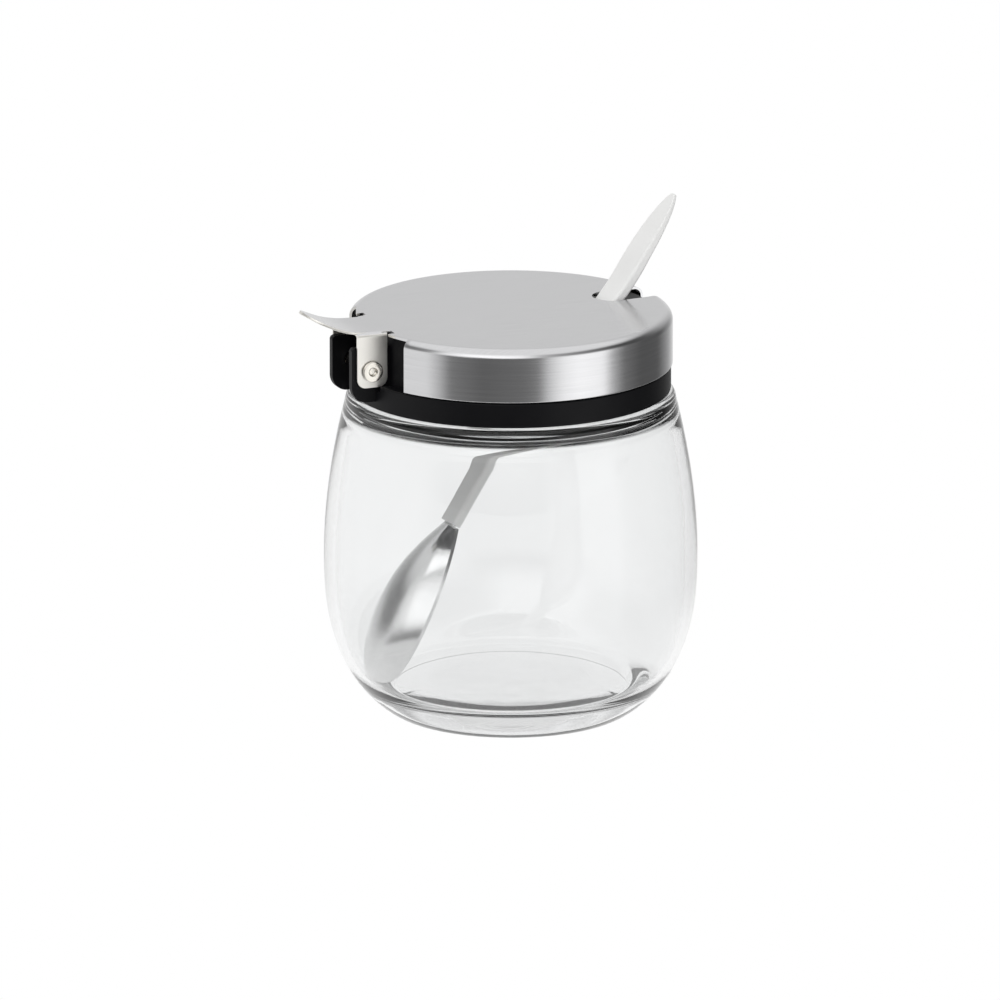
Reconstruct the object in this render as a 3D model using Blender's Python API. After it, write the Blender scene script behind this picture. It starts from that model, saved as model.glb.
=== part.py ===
"""Sugar bowl: a glass jar, a screw collar with a hinge, a pressed steel flip lid and a spoon.

Metres, Z up from the table, origin on the jar's axis at its underside. The hinge lies
towards -X. The spoon and its notch in the lid lie towards +X, turned by NOTCH_TURN.
"""
import bpy
import bmesh
import math
from mathutils import Vector

# Jar
BASE_RADIUS = 0.0285
FLOOR_Z = 0.0084
FLOOR_RADIUS = 0.0344
BELLY_Z = 0.0410
BELLY_RADIUS = 0.0462
BELLY_INNER_RADIUS = 0.0432
BELLY_DROP = 0.0060
BELLY_INNER_DROP = 0.0056
BELLY_CURVE = 2.8
BELLY_TAPER = 1.8
BELLY_SPREAD = 1.7
BELLY_FULLNESS = 0.77
BELLY_INNER_FULLNESS = 0.74
SHOULDER_Z = 0.0816
SHOULDER_ROUND = 0.0020
SHOULDER_INNER_Z = 0.0786
SHOULDER_INNER_RISE = 0.0046
NECK_RADIUS = 0.0336
NECK_INNER_RADIUS = 0.0312
NECK_ROOT = 0.0008
NECK_INNER_ROOT = 0.0020
RIM_Z = 0.0975

# Screw thread, one start, right hand
PITCH = 0.0040
THREAD_TURNS = 1.25
THREAD_HEIGHT = 0.00075
THREAD_BOTTOM = 0.0868
NECK_THREAD_WIDTH = 0.0016
COLLAR_THREAD_WIDTH = 0.0013
THREAD_RUN_OUT = 5

# Collar
COLLAR_BOTTOM = 0.0820
COLLAR_TOP = 0.1009
BAND_RADIUS = 0.0396
BAND_TOP = 0.0882
BAND_WALL = 0.0016
BAND_CEILING = 0.0866
COLLAR_RADIUS = 0.0361
COLLAR_INNER_RADIUS = 0.0347
COLLAR_WALL = 0.0015
LIP_RADIUS = 0.0306
LIP_BOTTOM = 0.0993
EDGE = 0.0004

# Gasket
GASKET_INNER_RADIUS = 0.0316
GASKET_OUTER_RADIUS = 0.0343

# Lid
LID_TOP = 0.1018
LID_RADIUS = 0.0400
SHEET = 0.0006
RIM_ROUND = 0.0024
SKIRT_BOTTOM = 0.0885
HINGE_GAP_DEG = 27.0
GAP_EDGE_RADIUS = 0.0382
NOTCH_TURN = math.radians(6.0)
NOTCH_HALF_WIDTH = 0.0050
NOTCH_CENTRE = 0.0284
CUT_BEYOND = 0.002
CUT_RADIUS = 0.046

# Hinge
PIN_X = -0.0401
PIN_Z = 0.09205
PIN_RADIUS = 0.0015
PIN_HEAD_RADIUS = 0.0026
PIN_HEAD = 0.0006
PIN_HEAD_EDGE = 0.0002
PIN_HOLLOW_RADIUS = 0.0010
PIN_HOLLOW_DEPTH = 0.0009
PIN_SIDES = 24
GAP = 0.0003
LUG_INNER_Y = 0.0056
LUG_OUTER_Y = 0.0075
LUG_END_X = -0.0451
LUG_TOP = 0.0980
LUG_BOTTOM = 0.0840
LUG_ROUND = 0.0040
LUG_TOP_ROUND = 0.0010
LUG_ROOT = 0.0008
EAR_OUTER_Y = 0.0084
EAR_SHEET = 0.00056
EAR_BEND = 0.0011
EAR_X = (-0.0440, -0.0361)
EAR_BOTTOM = 0.0879
EAR_ROUND = 0.0023
EAR_ROOT = 0.0010
POCKET_FLOOR = 0.0868
POCKET_CUT = 0.0011
RELIEF_X = (-0.0385, -0.0372, -0.0350)
RELIEF_INNER_Y = 0.0080
RELIEF_OUTER_Y = 0.0106
TAB_HALF_WIDTH = 0.0075
TAB_SHEET = 0.0007
TAB_STEP = 0.00005
TAB_TAPER_START = -0.0448
TAB_TAPER = 0.0028
TAB_TIP_ROUND = 0.0042
# The tab from the side: distance out from the axis, and how far it has curled up
TAB_LINE = [(-0.0340, 0), (-0.0400, 0), (-0.0440, 0.0003), (-0.0480, 0.0013), (-0.0520, 0.0030), (-0.0556, 0.0049)]

# Spoon, drawn in its own upright plane: first number outwards, second number up
HANDLE_LINE = [
    (-0.0170, 0.0488), (-0.0050, 0.0660), (0.0110, 0.0835),
    (0.0284, 0.1018), (0.0369, 0.1134), (0.0457, 0.1256),
]
HANDLE_WIDTH = 0.0068
HANDLE_SWELL = 0.0021
SWELL_START, SWELL_END = 0.30, 0.74
TAPER_START = 0.76
HANDLE_TIP = 0.19
HANDLE_THICKNESS = 0.0027
HANDLE_THINNING = 0.0019
THINNING_START = 0.72
BOWL_TIP = (-0.0362, 0.0117)
BOWL_WIDEST = 0.56
BOWL_HALF_WIDTH = 0.0105
BOWL_DEPTH = 0.0069
BOWL_SAG = 0.0012
BOWL_SHEET = 0.0009
BOWL_NECK_HALF_WIDTH = 0.0033
BOWL_NECK_DEPTH = 0.0009
HANDLE_GAP = 0.0004
TANG_WIDTH = 0.0044
TANG_SHEET = 0.0010
TANG_LENGTH = 0.0070
TANG_ROOT = 0.0025

SEGMENTS = 44


# ---------------------------------------------------------------- scene helpers

def material(name, colour, roughness, metallic=0.0, alpha=1.0):
    finish = bpy.data.materials.new(name)
    finish.use_nodes = True
    shader = finish.node_tree.nodes["Principled BSDF"]
    shader.inputs["Base Color"].default_value = (*colour, 1.0)
    shader.inputs["Roughness"].default_value = roughness
    shader.inputs["Metallic"].default_value = metallic
    shader.inputs["Alpha"].default_value = alpha
    finish.diffuse_color = (*colour, alpha)
    return finish


def add_object(name, verts, faces, finish=None):
    """One mesh object with every face pointing out of the solid."""
    mesh = bpy.data.meshes.new(name)
    mesh.from_pydata([tuple(v) for v in verts], [], faces)
    work = bmesh.new()
    work.from_mesh(mesh)
    bmesh.ops.recalc_face_normals(work, faces=work.faces)
    work.to_mesh(mesh)
    work.free()
    if finish:
        mesh.materials.append(finish)
    mesh.shade_smooth()
    mesh.set_sharp_from_angle(angle=math.radians(35))
    obj = bpy.data.objects.new(name, mesh)
    bpy.context.collection.objects.link(obj)
    return obj


def hide_tool(tool):
    tool.hide_render = True
    tool.display_type = "WIRE"


def boolean(target, tool, operation):
    change = target.modifiers.new(tool.name, "BOOLEAN")
    change.object = tool
    change.operation = operation
    change.solver = "EXACT"
    hide_tool(tool)


def pivot(name, location):
    """An empty on a joint's axis, which the pieces of a moving body hang from."""
    empty = bpy.data.objects.new(name, None)
    empty.location = location
    empty.empty_display_size = 0.01
    bpy.context.collection.objects.link(empty)
    return empty


def hang(piece, empty):
    bpy.context.view_layer.update()
    piece.parent = empty
    piece.matrix_parent_inverse = empty.matrix_world.inverted()


# ---------------------------------------------------------------- shape helpers

def arc(centre, radius, start_deg, end_deg, steps):
    """Points along an arc, both ends included."""
    points = []
    for i in range(steps + 1):
        angle = math.radians(start_deg + (end_deg - start_deg) * i / steps)
        points.append((centre[0] + radius * math.cos(angle), centre[1] + radius * math.sin(angle)))
    return points


def turned(name, section, finish=None, ring=False, sides=SEGMENTS):
    """A solid of revolution. A section that isn't a ring starts and ends on the axis."""
    verts = []
    rows = []
    for r, z in section:
        if r == 0:
            rows.append([len(verts)] * sides)
            verts.append((0, 0, z))
            continue
        rows.append(list(range(len(verts), len(verts) + sides)))
        for k in range(sides):
            angle = 2 * math.pi * k / sides
            verts.append((r * math.cos(angle), r * math.sin(angle), z))
    faces = []
    pairs = list(zip(rows, rows[1:]))
    if ring:
        pairs.append((rows[-1], rows[0]))
    for low, high in pairs:
        for k in range(sides):
            n = (k + 1) % sides
            corners = [low[k], low[n], high[n], high[k]]
            face = [c for i, c in enumerate(corners) if c != corners[i - 1]]
            if len(face) > 2:
                faces.append(face)
    return add_object(name, verts, faces, finish)


def prism(name, outline, low, high, finish=None, axis="Z"):
    """A closed outline drawn out along an axis: (x, y) along Z, or (x, z) along Y."""
    count = len(outline)
    verts = []
    for level in (low, high):
        for a, b in outline:
            verts.append((a, b, level) if axis == "Z" else (a, level, b))
    faces = [list(range(count)), list(range(count, 2 * count))]
    for k in range(count):
        n = (k + 1) % count
        faces.append([k, n, count + n, count + k])
    return add_object(name, verts, faces, finish)


def rod(name, radius, x, z, y_low, y_high, sides=24):
    """A round bar along Y."""
    outline = arc((x, z), radius, 0, 360 - 360 / sides, sides - 1)
    return prism(name, outline, y_low, y_high, axis="Y")


def smooth_line(points, steps):
    """A Catmull-Rom curve through the points, steps to each stretch."""
    knots = [Vector(p) for p in points]
    knots = [2 * knots[0] - knots[1]] + knots + [2 * knots[-1] - knots[-2]]
    line = []
    for a, b, c, d in zip(knots, knots[1:], knots[2:], knots[3:]):
        for i in range(steps):
            t = i / steps
            line.append(0.5 * (2 * b + (c - a) * t + (2 * a - 5 * b + 4 * c - d) * t ** 2
                               + (3 * b - a - 3 * c + d) * t ** 3))
    line.append(knots[-2])
    return line


def strip(name, line, widths, thicknesses, finish=None, corner=0.3):
    """A bar of rounded rectangular section along a line in the XZ plane, its width along Y."""
    verts = []
    count = 12
    for i, (place, width, thick) in enumerate(zip(line, widths, thicknesses)):
        ahead = line[min(i + 1, len(line) - 1)] - line[max(i - 1, 0)]
        normal = Vector((-ahead.y, ahead.x)).normalized()
        round_off = corner * min(width, thick)
        for side_y, side_n, start in ((1, 1, 0), (-1, 1, 90), (-1, -1, 180), (1, -1, 270)):
            centre = (side_y * (width / 2 - round_off), side_n * (thick / 2 - round_off))
            for y, n in arc(centre, round_off, start, start + 90, 2):
                spot = place + normal * n
                verts.append((spot.x, y, spot.y))
    rows = len(line)
    faces = [list(range(count)), list(range((rows - 1) * count, rows * count))]
    for i in range(rows - 1):
        for k in range(count):
            n = (k + 1) % count
            faces.append([i * count + k, i * count + n, (i + 1) * count + n, (i + 1) * count + k])
    return add_object(name, verts, faces, finish)


def thread(name, wall_radius, tip_radius, start_z, width):
    """A helical bead on a wall, its ends run out into the wall."""
    steps = int(SEGMENTS * THREAD_TURNS)
    outwards = 1 if tip_radius > wall_radius else -1
    verts = []
    for i in range(steps + 1):
        angle = 2 * math.pi * i / SEGMENTS
        z = start_z + PITCH * i / SEGMENTS
        height = min(1.0, 0.15 + min(i, steps - i) / THREAD_RUN_OUT)
        tip = wall_radius + (tip_radius - wall_radius) * height
        root = wall_radius - outwards * GAP
        for r, dz in ((root, -width / 2), (tip, -width / 4), (tip, width / 4), (root, width / 2)):
            verts.append((r * math.cos(angle), r * math.sin(angle), z + dz))
    faces = [[0, 1, 2, 3], [4 * steps + k for k in range(4)]]
    for i in range(steps):
        for k in range(4):
            n = (k + 1) % 4
            faces.append([4 * i + k, 4 * i + n, 4 * i + 4 + n, 4 * i + 4 + k])
    return add_object(name, verts, faces)


# ---------------------------------------------------------------- jar and collar

def belly(z, foot_z, foot_radius, wide_radius, drop, fullness):
    """The belly's radius: it swells from its foot to BELLY_Z, then draws in to the shoulder."""
    if z < BELLY_Z:
        rise = (z - foot_z) / (BELLY_Z - foot_z)
        return foot_radius + (wide_radius - foot_radius) * (1 - (1 - rise) ** BELLY_CURVE) ** fullness
    return wide_radius - drop * ((z - BELLY_Z) / BELLY_Z) ** BELLY_TAPER


def belly_side(foot_z, top_z, foot_radius, wide_radius, drop, fullness, steps):
    """Belly points from the foot up, closer together near the foot."""
    heights = [foot_z + (top_z - foot_z) * (i / steps) ** BELLY_SPREAD for i in range(1, steps + 1)]
    return [(belly(z, foot_z, foot_radius, wide_radius, drop, fullness), z) for z in heights]


def jar_section():
    outer_top = SHOULDER_Z - SHOULDER_ROUND
    inner_top = SHOULDER_INNER_Z - SHOULDER_INNER_RISE
    outer = [(0, 0), (BASE_RADIUS, 0)]
    outer += belly_side(0, outer_top, BASE_RADIUS, BELLY_RADIUS, BELLY_DROP, BELLY_FULLNESS, 21)
    outer += arc((outer[-1][0] - SHOULDER_ROUND, outer_top), SHOULDER_ROUND, 18, 90, 4)
    outer += arc((NECK_RADIUS + NECK_ROOT, SHOULDER_Z + NECK_ROOT), NECK_ROOT, 270, 180, 3)
    wall = NECK_RADIUS - NECK_INNER_RADIUS
    rim = arc((NECK_RADIUS - wall / 2, RIM_Z - wall / 2), wall / 2, 0, 180, 6)
    inner = [(0, FLOOR_Z), (FLOOR_RADIUS, FLOOR_Z)]
    inner += belly_side(FLOOR_Z, inner_top, FLOOR_RADIUS, BELLY_INNER_RADIUS, BELLY_INNER_DROP,
                        BELLY_INNER_FULLNESS, 16)
    shoulder_start = inner[-1][0]
    shoulder_end = NECK_INNER_RADIUS + NECK_INNER_ROOT
    for step in range(1, 6):
        turn = math.radians(18 * step)
        inner.append((shoulder_end + (shoulder_start - shoulder_end) * math.cos(turn),
                      inner_top + (SHOULDER_INNER_Z - inner_top) * math.sin(turn)))
    inner += arc((shoulder_end, SHOULDER_INNER_Z + NECK_INNER_ROOT), NECK_INNER_ROOT, 270, 180, 4)[1:]
    return outer + rim + inner[::-1]


def glass_jar():
    glass = material("clear_glass", (0.93, 0.95, 0.95), 0.02, alpha=0.3)
    jar = turned("glass_jar", jar_section(), glass)
    bead = thread("neck_thread", NECK_RADIUS, NECK_RADIUS + THREAD_HEIGHT,
                  THREAD_BOTTOM + PITCH / 2, NECK_THREAD_WIDTH)
    boolean(jar, bead, "UNION")


def collar_section():
    inner_wall = COLLAR_INNER_RADIUS + COLLAR_WALL
    return [
        (COLLAR_INNER_RADIUS, COLLAR_BOTTOM), (inner_wall, COLLAR_BOTTOM),
        (inner_wall, BAND_CEILING), (BAND_RADIUS - BAND_WALL, BAND_CEILING),
        (BAND_RADIUS - BAND_WALL, COLLAR_BOTTOM), (BAND_RADIUS - EDGE, COLLAR_BOTTOM),
        (BAND_RADIUS, COLLAR_BOTTOM + EDGE), (BAND_RADIUS, BAND_TOP - EDGE),
        (BAND_RADIUS - EDGE, BAND_TOP), (COLLAR_RADIUS, BAND_TOP),
        (COLLAR_RADIUS, COLLAR_TOP - EDGE), (COLLAR_RADIUS - EDGE, COLLAR_TOP),
        (LIP_RADIUS + EDGE, COLLAR_TOP), (LIP_RADIUS, COLLAR_TOP - EDGE),
        (LIP_RADIUS, LIP_BOTTOM), (COLLAR_INNER_RADIUS, LIP_BOTTOM),
    ]


def lug_outline():
    """One hinge lug from the side: a plate out from the collar, rounded at its end."""
    root_x = -COLLAR_RADIUS + LUG_ROOT
    low = arc((LUG_END_X + LUG_ROUND, LUG_BOTTOM + LUG_ROUND), LUG_ROUND, 270, 180, 6)
    high = arc((LUG_END_X + LUG_TOP_ROUND, LUG_TOP - LUG_TOP_ROUND), LUG_TOP_ROUND, 180, 90, 3)
    return [(root_x, LUG_BOTTOM)] + low + high + [(root_x, LUG_TOP)]


def ear_pocket(side):
    """Room cut into the collar's wall and band for an ear of the lid to swing in."""
    near, far = sorted((side * LUG_OUTER_Y, side * (EAR_OUTER_Y + POCKET_CUT)))
    inner_x, outer_x = -COLLAR_RADIUS + POCKET_CUT, LUG_END_X - POCKET_CUT
    outline = [(inner_x, POCKET_FLOOR), (outer_x, POCKET_FLOOR), (outer_x, LUG_TOP), (inner_x, LUG_TOP)]
    return prism(f"ear_pocket_{side}", outline, near, far, axis="Y")


def screw_collar():
    plastic = material("black_plastic", (0.012, 0.012, 0.013), 0.35)
    collar = turned("screw_collar", collar_section(), plastic, ring=True)
    bead = thread("collar_thread", COLLAR_INNER_RADIUS, COLLAR_INNER_RADIUS - THREAD_HEIGHT,
                  THREAD_BOTTOM, COLLAR_THREAD_WIDTH)
    boolean(collar, bead, "UNION")
    for side in (-1, 1):
        inner, outer = sorted((side * LUG_INNER_Y, side * LUG_OUTER_Y))
        lug = prism(f"lug_{side}", lug_outline(), inner, outer, axis="Y")
        boolean(collar, lug, "UNION")
        boolean(collar, ear_pocket(side), "DIFFERENCE")
    bore = rod("collar_bore", PIN_RADIUS + GAP, PIN_X, PIN_Z, -EAR_OUTER_Y, EAR_OUTER_Y)
    boolean(collar, bore, "DIFFERENCE")
    return collar


def neck_gasket():
    rubber = material("gasket_rubber", (0.75, 0.75, 0.73), 0.6)
    low = RIM_Z + GAP
    high = LIP_BOTTOM - GAP
    return turned("neck_gasket", [
        (GASKET_INNER_RADIUS, low), (GASKET_OUTER_RADIUS, low),
        (GASKET_OUTER_RADIUS, high), (GASKET_INNER_RADIUS, high),
    ], rubber, ring=True)


# ---------------------------------------------------------------- lid

def lid_section():
    flat = LID_RADIUS - RIM_ROUND
    outer = arc((flat, LID_TOP - RIM_ROUND), RIM_ROUND, 90, 0, 6)
    inner = arc((flat, LID_TOP - RIM_ROUND), RIM_ROUND - SHEET, 0, 90, 6)
    return ([(0, LID_TOP)] + outer + [(LID_RADIUS, SKIRT_BOTTOM), (LID_RADIUS - SHEET, SKIRT_BOTTOM)]
            + inner + [(0, LID_TOP - SHEET)])


def gap_cutter():
    """The stretch of rim and skirt that is left out at the hinge."""
    start, end = 180 - HINGE_GAP_DEG, 180 + HINGE_GAP_DEG
    outline = arc((0, 0), GAP_EDGE_RADIUS, start, end, 12) + arc((0, 0), CUT_RADIUS, end, start, 12)
    return prism("hinge_gap", outline, SKIRT_BOTTOM - CUT_BEYOND, LID_TOP + CUT_BEYOND)


def notch_cutter():
    """The spoon notch: a slot with a round inner end, open through rim and skirt."""
    outline = arc((NOTCH_CENTRE, 0), NOTCH_HALF_WIDTH, 90, 270, 12)
    outline += [(CUT_RADIUS, -NOTCH_HALF_WIDTH), (CUT_RADIUS, NOTCH_HALF_WIDTH)]
    cutter = prism("spoon_notch", outline, SKIRT_BOTTOM - CUT_BEYOND, LID_TOP + CUT_BEYOND)
    cutter.rotation_euler.z = NOTCH_TURN
    return cutter


def relief_cutter(side):
    """The small cut beside the tab's root that frees the fold of an ear."""
    low, high = sorted((side * RELIEF_INNER_Y, side * RELIEF_OUTER_Y))
    slant_x, near_x, far_x = RELIEF_X
    near_low, near_high = (slant_x, near_x) if side < 0 else (near_x, slant_x)
    outline = [(near_low, low), (far_x, low), (far_x, high), (near_high, high)]
    return prism(f"relief_{side}", outline, SKIRT_BOTTOM, LID_TOP + CUT_BEYOND)


def tab_lever():
    """The tab at the hinge, drawn on into a thumb lever that curls up."""
    level = LID_TOP - TAB_SHEET / 2 + TAB_STEP
    line = [Vector((x, level + lift)) for x, lift in smooth_line(TAB_LINE, 4)]
    end = line[-1].x
    widths = []
    for place in line:
        narrowing = max(0.0, (TAB_TAPER_START - place.x) / (TAB_TAPER_START - end))
        width = 2 * (TAB_HALF_WIDTH - TAB_TAPER * narrowing ** 1.3)
        to_tip = max(0.0, 1 - (place.x - end) / TAB_TIP_ROUND)
        widths.append(width * math.sqrt(max(0.03, 1 - to_tip ** 2)))
    return strip("tab_lever", line, widths, [TAB_SHEET] * len(line), corner=0.25)


def ear(side):
    """A cheek folded down from the tab, which carries the pin."""
    top = LID_TOP - TAB_SHEET / 2 + TAB_STEP
    middle_y = EAR_OUTER_Y - EAR_SHEET / 2
    bend = EAR_BEND - EAR_SHEET / 2
    line = [(middle_y - bend - EAR_ROOT, top)]
    line += arc((middle_y - bend, top - bend), bend, 90, 0, 5)
    straight = top - bend - EAR_ROUND - EAR_BOTTOM
    line += [(middle_y, top - bend - straight * k / 2) for k in (1, 2)]
    drops = [math.sin(math.radians(angle)) for angle in (20, 40, 60, 78, 90)]
    line += [(middle_y, EAR_BOTTOM + EAR_ROUND * (1 - drop)) for drop in drops]
    full = EAR_X[1] - EAR_X[0]
    widths = [full] * (len(line) - len(drops))
    widths += [full - 2 * EAR_ROUND * (1 - math.sqrt(max(0.0, 1 - drop ** 2))) for drop in drops]
    cheek = strip(f"ear_{side}", [Vector(p) for p in line], widths, [EAR_SHEET] * len(line), corner=0.1)
    cheek.location.x = (EAR_X[0] + EAR_X[1]) / 2
    cheek.rotation_euler.z = side * math.pi / 2
    return cheek


def lid_shell():
    steel = material("brushed_steel", (0.60, 0.60, 0.61), 0.3, 1.0)
    lid = turned("lid_shell", lid_section(), steel)
    boolean(lid, gap_cutter(), "DIFFERENCE")
    boolean(lid, notch_cutter(), "DIFFERENCE")
    boolean(lid, tab_lever(), "UNION")
    for side in (-1, 1):
        boolean(lid, relief_cutter(side), "DIFFERENCE")
        boolean(lid, ear(side), "UNION")
    bore = rod("ear_bore", PIN_RADIUS + GAP, PIN_X, PIN_Z, -RELIEF_OUTER_Y, RELIEF_OUTER_Y)
    boolean(lid, bore, "DIFFERENCE")
    return lid


def hinge_pin():
    """A rivet: a shank with a head at one end and the other end rolled over."""
    steel = material("rivet_steel", (0.72, 0.70, 0.66), 0.2, 1.0)
    head_in = EAR_OUTER_Y + GAP
    head_out = head_in + PIN_HEAD
    edge = PIN_HEAD_EDGE
    half = [(0, -head_out), (PIN_HEAD_RADIUS - edge, -head_out), (PIN_HEAD_RADIUS, edge - head_out),
            (PIN_HEAD_RADIUS, -head_in), (PIN_RADIUS, -head_in), (PIN_RADIUS, head_in),
            (PIN_HEAD_RADIUS, head_in), (PIN_HEAD_RADIUS, head_out - edge),
            (PIN_HEAD_RADIUS - edge, head_out), (PIN_HOLLOW_RADIUS, head_out),
            (PIN_HOLLOW_RADIUS, head_out - PIN_HOLLOW_DEPTH), (0, head_out - PIN_HOLLOW_DEPTH)]
    pin = turned("hinge_pin", half, steel, sides=PIN_SIDES)
    pin.rotation_euler.x = math.pi / 2
    pin.location = (PIN_X, 0, PIN_Z)
    return pin


# ---------------------------------------------------------------- spoon

def handle_width(along):
    """The handle's width from its lower end at 0 to its tip at 1: a stem, a swell and a pointed end."""
    swell = min(1.0, max(0.0, (along - SWELL_START) / (SWELL_END - SWELL_START)))
    width = HANDLE_WIDTH + HANDLE_SWELL * swell ** 2 * (3 - 2 * swell)
    to_tip = max(0.0, (along - TAPER_START) / (1 - TAPER_START))
    return width * math.sqrt(max(HANDLE_TIP ** 2, 1 - to_tip ** 2.2))


def handle_thickness(along):
    thinning = max(0.0, (along - THINNING_START) / (1 - THINNING_START))
    return HANDLE_THICKNESS - HANDLE_THINNING * thinning ** 1.3


def tang_line(length):
    """The start of the handle's line, from the bowl's end up."""
    line = smooth_line(HANDLE_LINE[:3], 10)
    return [p for p in line if (p - line[0]).length < length]


def spoon_handle():
    plastic = material("white_plastic", (0.88, 0.88, 0.87), 0.35)
    line = smooth_line(HANDLE_LINE, 7)
    line[0] += (line[1] - line[0]).normalized() * HANDLE_GAP
    total = len(line) - 1
    widths = [handle_width(i / total) for i in range(total + 1)]
    thicknesses = [handle_thickness(i / total) for i in range(total + 1)]
    handle = strip("spoon_handle", line, widths, thicknesses, plastic)
    socket_line = tang_line(TANG_LENGTH + 2 * GAP)
    count = len(socket_line)
    socket = strip("handle_socket", socket_line, [TANG_WIDTH + 2 * GAP] * count,
                   [TANG_SHEET + 2 * GAP] * count, corner=0.1)
    boolean(handle, socket, "DIFFERENCE")
    handle.rotation_euler.z = NOTCH_TURN
    socket.rotation_euler.z = NOTCH_TURN
    return handle


def bowl_size(reach, neck, widest, blunt):
    """A width or depth of the spoon's bowl, from its neck at 0 to its tip at 1."""
    if reach < BOWL_WIDEST:
        return neck + (widest - neck) * (1 - (1 - reach / BOWL_WIDEST) ** 2)
    to_tip = (reach - BOWL_WIDEST) / (1 - BOWL_WIDEST)
    return widest * max(0.0, 1 - to_tip ** blunt) ** (1 / blunt)


def bowl_reaches(stations):
    """Stations along the bowl, closer together towards its rounded tip."""
    even = [BOWL_WIDEST * i / stations for i in range(stations)]
    closing = [math.sin(math.radians(86 * i / stations)) for i in range(stations + 1)]
    return even + [BOWL_WIDEST + (1 - BOWL_WIDEST) * share for share in closing]


def spoon_bowl():
    """A deep bowl, hollow side down, with a tang that enters the handle."""
    steel = material("polished_steel", (0.68, 0.68, 0.68), 0.15, 1.0)
    end = Vector(HANDLE_LINE[0])
    tip = Vector(BOWL_TIP)
    along = (tip - end).normalized()
    out = Vector((-abs(along.y), abs(along.x)))
    length = (tip - end).length
    across = 12
    verts = []
    rows = []
    for reach in bowl_reaches(8):
        half = bowl_size(reach, BOWL_NECK_HALF_WIDTH, BOWL_HALF_WIDTH, 2.0)
        depth = bowl_size(reach, BOWL_NECK_DEPTH, BOWL_DEPTH, 2.6)
        sag = BOWL_SAG * math.sin(math.pi * reach)
        rows.append(list(range(len(verts), len(verts) + 2 * (across + 1))))
        for thin, steps in ((0, range(across + 1)), (BOWL_SHEET, range(across, -1, -1))):
            for k in steps:
                side = -math.cos(math.pi * k / across)
                lift = sag + depth * (1 - abs(side) ** 2.2) - thin
                spot = end + along * length * reach + out * lift
                verts.append((spot.x, half * side, spot.y))
    faces = [rows[0], rows[-1]]
    for low, high in zip(rows, rows[1:]):
        for k in range(len(low)):
            n = (k + 1) % len(low)
            faces.append([low[k], low[n], high[n], high[k]])
    bowl = add_object("spoon_bowl", verts, faces, steel)

    line = [end + along * TANG_ROOT + out * GAP, end] + tang_line(TANG_LENGTH)[1:]
    tang = strip("spoon_tang", line, [TANG_WIDTH] * len(line), [TANG_SHEET] * len(line), corner=0.1)
    boolean(bowl, tang, "UNION")
    bowl.rotation_euler.z = NOTCH_TURN
    tang.rotation_euler.z = NOTCH_TURN
    return bowl


# ---------------------------------------------------------------- the object

def main():
    for obj in list(bpy.data.objects):
        bpy.data.objects.remove(obj, do_unlink=True)
    collar_axis = pivot("collar_axis", (0, 0, 0))
    lid_axis = pivot("lid_axis", (PIN_X, 0, PIN_Z))
    spoon_axis = pivot("spoon_axis", (0, 0, 0))
    glass_jar()
    for piece in (screw_collar(), neck_gasket()):
        hang(piece, collar_axis)
    for piece in (lid_shell(), hinge_pin()):
        hang(piece, lid_axis)
    for piece in (spoon_handle(), spoon_bowl()):
        hang(piece, spoon_axis)


main()
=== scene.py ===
"""The looks of the sugar bowl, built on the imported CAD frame: pieces, materials and studio."""

import math

import bmesh
import bpy
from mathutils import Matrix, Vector


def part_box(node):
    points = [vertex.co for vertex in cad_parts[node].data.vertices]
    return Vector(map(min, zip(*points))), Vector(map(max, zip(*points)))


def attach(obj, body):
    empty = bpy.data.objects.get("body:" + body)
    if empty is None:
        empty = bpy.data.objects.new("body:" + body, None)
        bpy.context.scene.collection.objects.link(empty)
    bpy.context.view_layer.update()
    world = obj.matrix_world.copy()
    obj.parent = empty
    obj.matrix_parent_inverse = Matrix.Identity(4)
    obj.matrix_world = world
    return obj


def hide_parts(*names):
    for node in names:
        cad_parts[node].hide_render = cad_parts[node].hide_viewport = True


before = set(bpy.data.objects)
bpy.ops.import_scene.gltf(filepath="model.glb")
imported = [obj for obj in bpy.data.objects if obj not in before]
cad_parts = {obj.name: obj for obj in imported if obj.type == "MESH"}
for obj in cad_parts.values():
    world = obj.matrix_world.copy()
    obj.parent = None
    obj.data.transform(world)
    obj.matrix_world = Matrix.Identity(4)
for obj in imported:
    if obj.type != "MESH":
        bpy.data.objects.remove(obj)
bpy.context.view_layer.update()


# ------------------------------------------------------------------ sizes, from the frame

MM = 0.001
jar_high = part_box("glass_jar")[1]
collar_low, collar_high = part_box("screw_collar")
gasket_low, gasket_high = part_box("neck_gasket")
lid_low, lid_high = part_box("lid_shell")
pin_low, pin_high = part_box("hinge_pin")

BELLY_RADIUS = jar_high.x
RIM_Z = jar_high.z
COLLAR_BOTTOM = collar_low.z
COLLAR_TOP = collar_high.z
BAND_RADIUS = collar_high.x
LUG_END_X = collar_low.x
LID_RADIUS = lid_high.y
EAR_BOTTOM = lid_low.z
PIN_X = (pin_low.x + pin_high.x) / 2
PIN_Z = (pin_low.z + pin_high.z) / 2
PIN_HEAD_RADIUS = (pin_high.x - pin_low.x) / 2
PIN_HALF_LENGTH = pin_high.y

# Jar
BASE_RADIUS = 28.5 * MM
FOOT_CHAMFER = (0.3 * MM, 0.05 * MM)
FLOOR_Z = 8.4 * MM
FLOOR_RADIUS = 34.4 * MM
FLOOR_EDGE_RISE = 0.1 * MM
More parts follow.
